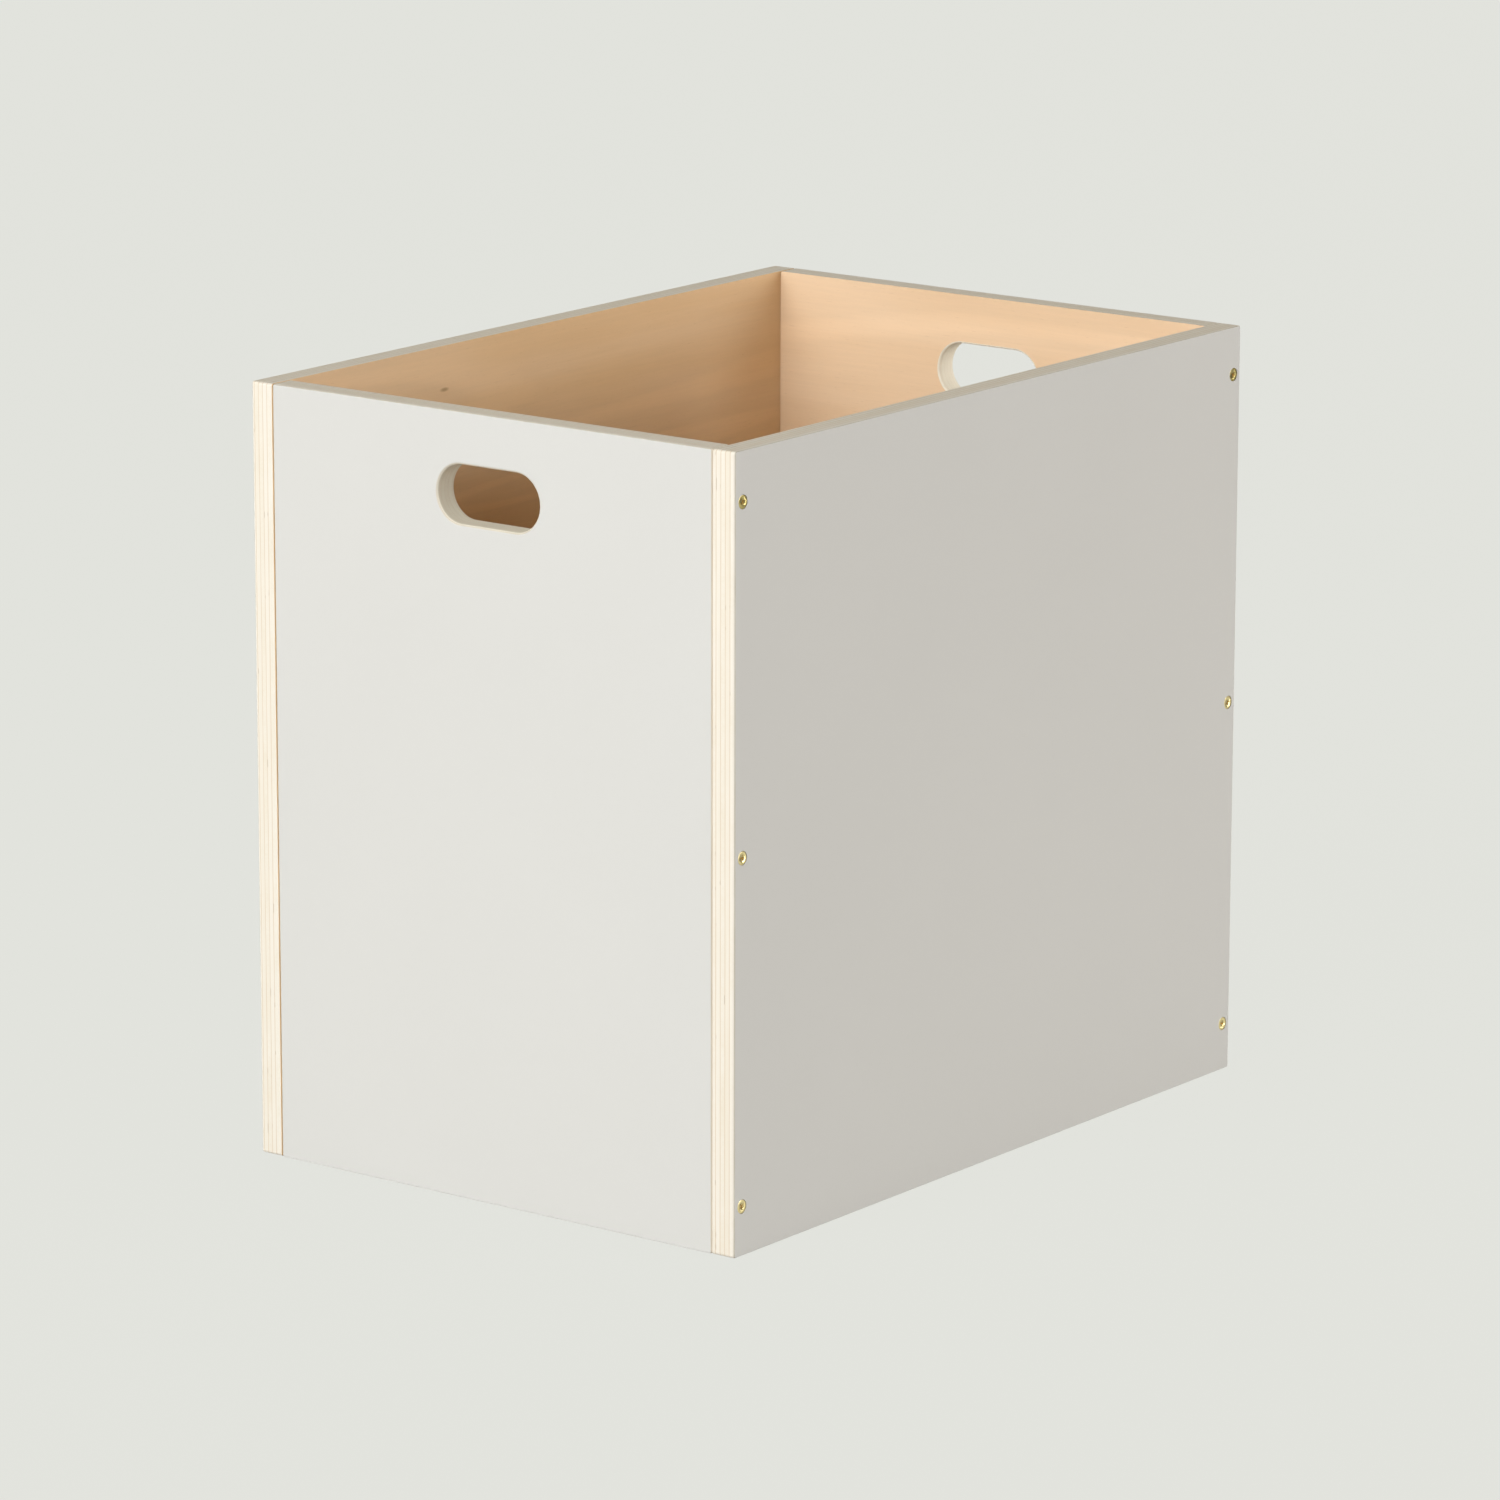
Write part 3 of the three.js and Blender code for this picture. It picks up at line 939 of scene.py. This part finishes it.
for wall in end_walls:
    own(end_board(wall, end_edge, end_face, slot_edge), "plywood", f"{wall.name}_board")
    own(facing(wall, film, lit_end_core, True), "laminate", f"{wall.name}_face_sheet")
for wall in side_walls:
    own(side_board(wall, *side_woods[wall.name]), "plywood", f"{wall.name}_board")
    own(facing(wall, film, shaded_side_core, False), "laminate", f"{wall.name}_face_sheet")
own(bottom(bottom_edge, bottom_face), "bottom_plywood", "bottom_board")

screw = cut_screw(new_brass)
for wall in side_walls:
    for index, place in enumerate(wall.screws()):
        piece = place_screw(screw, wall, place, SCREW_TURN * (index + 1))
        if place[0].endswith("_top"):  # the topmost screws get darker brass, painted shade for the dark room their heads reflect
            piece.data.materials[0] = dark_reflection_brass
        own(piece, "brass")


# ---- Studio ------------------------------------------------------------------------------------

PALE = (0.76, 0.768, 0.723, 1)  # how the floor and the backdrop look
BOX_CENTRE = (cad_bounds[0] + cad_bounds[1]) / 2
FLOOR_RADIUS, FLOOR_SIDES = 14, 64
FLOOR_DROP = 0.3 * MM  # below the box
FLOOR_GLOW = 1.004
FLOOR_SHADE = 0.02  # how much of what the camera sees is matt floor, which takes the shadow
MATT, BOUNCE = (0.9, 0.9, 0.87, 1), (0.45, 0.45, 0.45, 1)  # as seen, and for the light it throws back
SWEEP_START, SWEEP_END = 0.9, 1.4  # where the sweep's edge starts and ends, from the box's middle
ROOM_GLOW = 0.2  # of the sweep's
DARK, BAND, OVERHEAD = (0, 0, 0, 1), (1, 1, 1, 1), (0.5, 0.45, 0.33, 1)

# The room's light by height, which is 0 on a level with the box and 1 overhead.
SKY = ((0.05, DARK), (0.12, BAND), (0.25, BAND), (0.35, DARK), (0.75, DARK), (0.85, OVERHEAD))
SKY_STRENGTH = 0.85

# The camera. It aims a little to the left of the box's middle and below it. Lengths are in metres.
AZIMUTH, ELEVATION, ROLL = math.radians(37.13), math.radians(13.35), math.radians(0.11)
DISTANCE = 3.360  # from where it aims
AIM_LEFT, AIM_DOWN = 0.0026, 0.0068
LENS = 178.9  # millimetres
FAR = 100  # how far the camera sees


def direction(azimuth, elevation):
    """Towards a point round the box: azimuth 0 is in front of it, and +X is at a quarter turn."""
    level = math.cos(elevation)
    return Vector((math.sin(azimuth) * level, -math.cos(azimuth) * level, math.sin(elevation)))


def add_camera():
    back = direction(AZIMUTH, ELEVATION)
    right = Vector((math.cos(AZIMUTH), math.sin(AZIMUTH), 0))
    up = back.cross(right)
    aim = BOX_CENTRE - AIM_LEFT * right - AIM_DOWN * up
    data = bpy.data.cameras.new("camera")
    data.lens = LENS
    data.clip_end = FAR
    camera = bpy.data.objects.new("camera", data)
    turn = Matrix((right, up, back)).transposed().to_4x4() @ Matrix.Rotation(ROLL, 4, "Z")
    camera.matrix_world = Matrix.Translation(aim + DISTANCE * back) @ turn
    bpy.context.scene.collection.objects.link(camera)
    bpy.context.scene.camera = camera


def add_softbox(name, azimuth, elevation, distance, size, power, colour=(1, 1, 1), gloss=True):
    """A round softbox that faces the box. The camera doesn't see it, and without gloss nor do reflections."""
    data = bpy.data.lights.new(name, "AREA")
    data.shape = "DISK"
    data.size = size
    data.energy = power
    data.color = colour
    light = bpy.data.objects.new(name, data)
    light.visible_camera = False
    light.visible_glossy = gloss
    towards = direction(math.radians(azimuth), math.radians(elevation))
    turn = towards.to_track_quat("Z", "Y").to_matrix().to_4x4()
    light.matrix_world = Matrix.Translation(BOX_CENTRE + distance * towards) @ turn
    bpy.context.scene.collection.objects.link(light)


def add_floor():
    """A pale floor that glows, as a lit studio sweep does, and takes a faint shadow.

    The camera sees one plain tone. In the box's gloss the floor shows only as far as the sweep reaches.
    """
    shape = bmesh.new()
    bmesh.ops.create_circle(shape, cap_ends=True, radius=FLOOR_RADIUS, segments=FLOOR_SIDES)
    data = bpy.data.meshes.new("floor")
    shape.to_mesh(data)
    shape.free()
    floor = bpy.data.objects.new("floor", data)
    floor.location.z = -FLOOR_DROP
    bpy.context.scene.collection.objects.link(floor)
    data.materials.append(floor_paint())


def floor_paint():
    """The floor's material: one for the camera, one for diffuse light and one for reflections."""
    paint = Paint("floor")
    matt = paint.node("ShaderNodeBsdfDiffuse", {"Color": MATT})
    bounce = paint.node("ShaderNodeBsdfDiffuse", {"Color": BOUNCE})
    glow = paint.node("ShaderNodeEmission", {"Color": PALE, "Strength": FLOOR_GLOW})
    seen = paint.node("ShaderNodeMixShader", {0: FLOOR_SHADE, 1: glow, 2: matt})
    place = paint.parts(paint.node("ShaderNodeTexCoord", {}, output="Object"))
    reach = paint.step(paint.length(place[0], place[1]), SWEEP_END, SWEEP_START)
    reach = paint.spread(reach, ROOM_GLOW, 1 - ROOM_GLOW)
    mirror = paint.node("ShaderNodeEmission", {"Color": PALE, "Strength": reach})
    diffuse_ray = paint.node("ShaderNodeLightPath", {}, output="Is Diffuse Ray")
    camera_ray = paint.node("ShaderNodeLightPath", {}, output="Is Camera Ray")
    lit = paint.node("ShaderNodeMixShader", {0: diffuse_ray, 1: mirror, 2: bounce})
    surface = paint.node("ShaderNodeMixShader", {0: camera_ray, 1: lit, 2: seen})
    paint.tree.links.new(surface, paint.tree.nodes["Material Output"].inputs["Surface"])
    return paint.material


def add_world():
    """A soft band of light round the room and some from above. The camera sees one plain tone."""
    world = bpy.data.worlds.new("studio")
    world.use_nodes = True
    bpy.context.scene.world = world
    nodes = Nodes(world.node_tree)
    place = nodes.parts(nodes.node("ShaderNodeTexCoord", {}, output="Generated"))
    ramp = nodes.node("ShaderNodeValToRGB", {0: place[2]})
    stops = ramp.node.color_ramp.elements
    for index, (level, light) in enumerate(SKY):
        stop = stops[index] if index < len(stops) else stops.new(level)
        stop.position = level
        stop.color = light
    sky = nodes.node("ShaderNodeBackground", {"Color": ramp, "Strength": SKY_STRENGTH})
    plain = nodes.node("ShaderNodeBackground", {"Color": PALE, "Strength": 1.0})
    camera_ray = nodes.node("ShaderNodeLightPath", {}, output="Is Camera Ray")
    surface = nodes.node("ShaderNodeMixShader", {0: camera_ray, 1: sky, 2: plain})
    nodes.tree.links.new(surface, nodes.tree.nodes["World Output"].inputs["Surface"])


add_camera()
add_floor()
add_world()
add_softbox("key", azimuth=2, elevation=26, distance=6, size=4.4, power=262)
add_softbox("left", azimuth=-20, elevation=26, distance=3, size=2.2, power=17)
add_softbox("low", azimuth=2, elevation=8, distance=3, size=2.2, power=18)
add_softbox("side", azimuth=110, elevation=8, distance=3.4, size=1.85, power=72, colour=(1, 0.96, 0.93))
add_softbox("back", azimuth=224, elevation=3, distance=8, size=1.2, power=440, gloss=False)

bpy.context.scene.view_settings.view_transform = "Standard"
